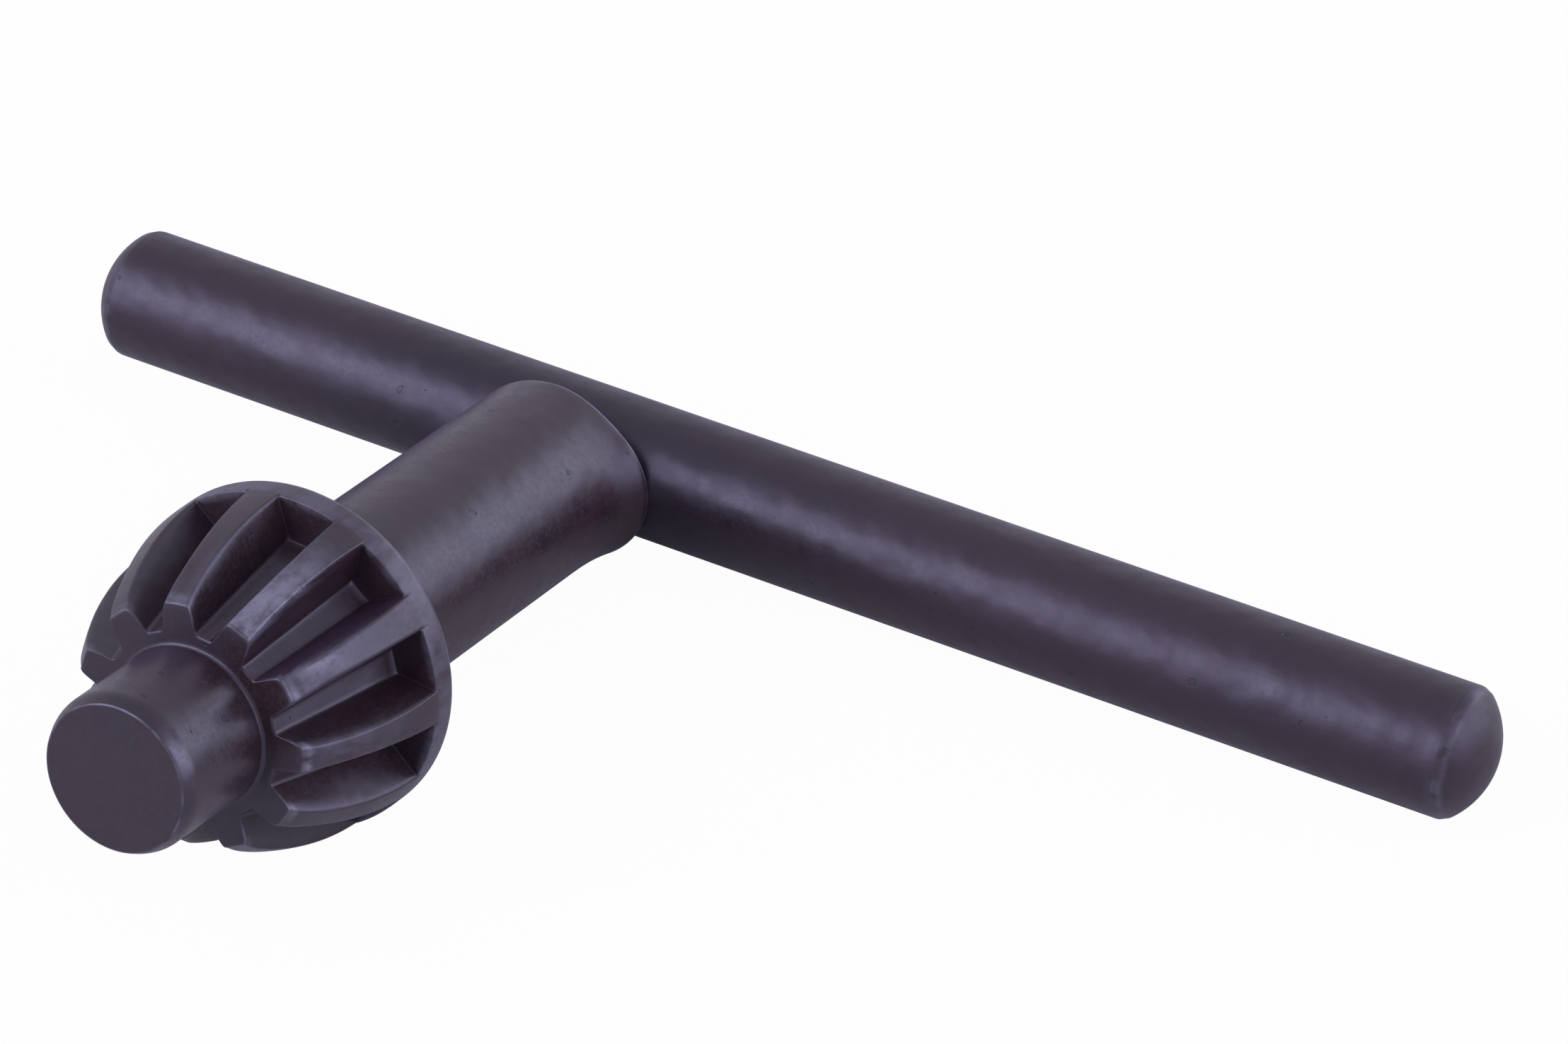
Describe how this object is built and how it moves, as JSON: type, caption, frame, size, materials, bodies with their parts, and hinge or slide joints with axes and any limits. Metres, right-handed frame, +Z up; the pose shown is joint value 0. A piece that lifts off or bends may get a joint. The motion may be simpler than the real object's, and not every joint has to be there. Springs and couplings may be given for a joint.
{
  "type": "drill chuck key",
  "caption": "Key that turns the geared sleeve of a drill chuck: a plain pilot and bevel gear head on a short shank, with a cross bar handle set across the shank's end.",
  "frame": {"origin": "middle of the floor area that the lying key covers, on the floor", "axes": "+X along the cross bar towards its long arm, the pilot points towards -Y, +Z up from the floor that the key lies on"},
  "size_m": [0.0782, 0.0456, 0.0172],
  "materials": {
    "blackened_steel": "black oxide, satin, worn bright on the tooth edges",
    "blackened_bar_steel": "black oxide, satin, drawn rod"
  },
  "bodies": {
    "root": {"key_body": "blackened_steel", "cross_bar": "blackened_bar_steel"}
  },
  "joints": []
}
